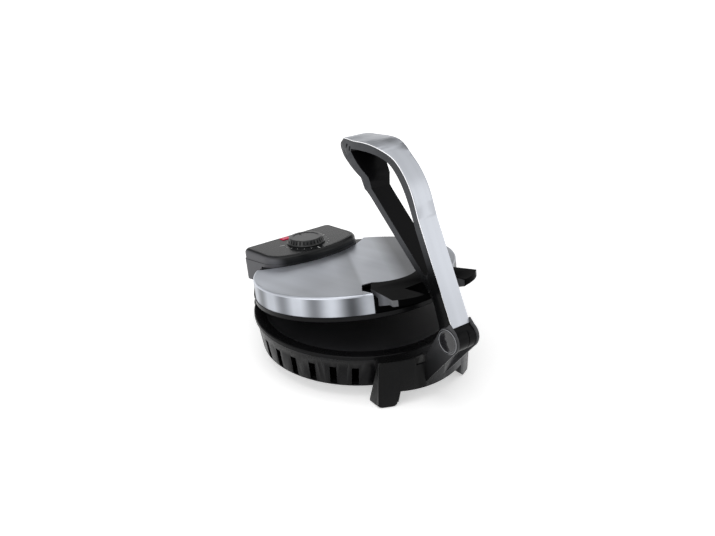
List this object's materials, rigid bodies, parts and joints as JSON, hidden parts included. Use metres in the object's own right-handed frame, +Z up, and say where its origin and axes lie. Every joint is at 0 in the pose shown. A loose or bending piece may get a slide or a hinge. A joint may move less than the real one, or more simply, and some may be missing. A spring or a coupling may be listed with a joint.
{
  "type": "electric roti maker",
  "caption": "Electric flatbread press: round ribbed base and brushed steel lid with heated plates, rear control box with dial, and a looped press lever on a front pivot.",
  "frame": {"origin": "centre of the footprint on the table, under the foot pads", "axes": "+Z up, +Y from the lever in front to the hinge and control box at the back, +X to the right of a person who stands in front"},
  "size_m": [0.232, 0.3096, 0.2527],
  "materials": {
    "black_plastic": "fine satin texture",
    "gloss_black": "gloss",
    "stainless": "brushed",
    "steel": "plain",
    "nonstick": "dark non-stick coating",
    "heater_steel": "dull sheath",
    "galvanised": "plain sheet",
    "pad_rubber": "matte",
    "phenolic": "pale moulding",
    "red_lens": "translucent",
    "green_lens": "translucent",
    "lamp_glass": "clear",
    "brass": "plain"
  },
  "bodies": {
    "base": {"base_housing": "black_plastic", "base_bottom_cover": "black_plastic", "front_bracket": "black_plastic", "rear_feet": "black_plastic", "foot_pads": "pad_rubber", "lower_plate": "nonstick", "lower_heater": "heater_steel", "lower_heat_shield": "galvanised", "lower_plate_screws": "steel", "bottom_screws": "steel", "cord_gland": "pad_rubber", "terminal_block": "phenolic"},
    "lever_axle": {"pivot_axle": "steel", "pivot_caps": "gloss_black", "pivot_washers": "steel"},
    "lever": {"lever_frame": "black_plastic", "lever_inner_arm": "black_plastic", "lever_cover": "stainless", "lever_screws": "steel"},
    "lid_hinge": {"hinge_pin": "steel", "hinge_bushings": "brass"},
    "lid": {"lid_cover": "stainless", "lid_housing": "black_plastic", "lid_handle": "black_plastic", "upper_plate": "nonstick", "upper_heater": "heater_steel", "upper_heat_shield": "galvanised", "upper_plate_screws": "steel", "lid_screws": "steel", "control_housing": "black_plastic", "control_panel": "black_plastic", "thermostat_body": "phenolic", "red_lens": "red_lens", "green_lens": "green_lens", "indicator_lamps": "lamp_glass"},
    "knob": {"control_knob": "black_plastic", "thermostat_spindle": "steel"}
  },
  "joints": [
    {"name": "lever_press", "type": "hinge", "parent": "base", "child": "lever_axle", "pos_m": [0, -0.1415, 0.0808], "axis": [1, 0, 0], "range_deg": [-37, 0]},
    {"name": "lever_swing", "type": "hinge", "parent": "lever_axle", "child": "lever", "pos_m": [0, -0.1415, 0.0808], "axis": [1, 0, 0], "range_deg": [0, 75]},
    {"name": "lid_press", "type": "hinge", "parent": "base", "child": "lid_hinge", "pos_m": [0, 0.1422, 0.0505], "axis": [-1, 0, 0], "range_deg": [-10, 0]},
    {"name": "lid_open", "type": "hinge", "parent": "lid_hinge", "child": "lid", "pos_m": [0, 0.1422, 0.0505], "axis": [-1, 0, 0], "range_deg": [0, 85]},
    {"name": "knob_turn", "type": "hinge", "parent": "lid", "child": "knob", "pos_m": [0, 0.11362, 0.09919], "axis": [0, 0.1149, 0.9934], "range_deg": [0, 270]}
  ],
  "couplings": [
    {"joint": "lid_press", "follows": "lever_press", "ratio": 0.27},
    {"joint": "lid_open", "follows": "lever_swing", "ratio": 1.13}
  ]
}
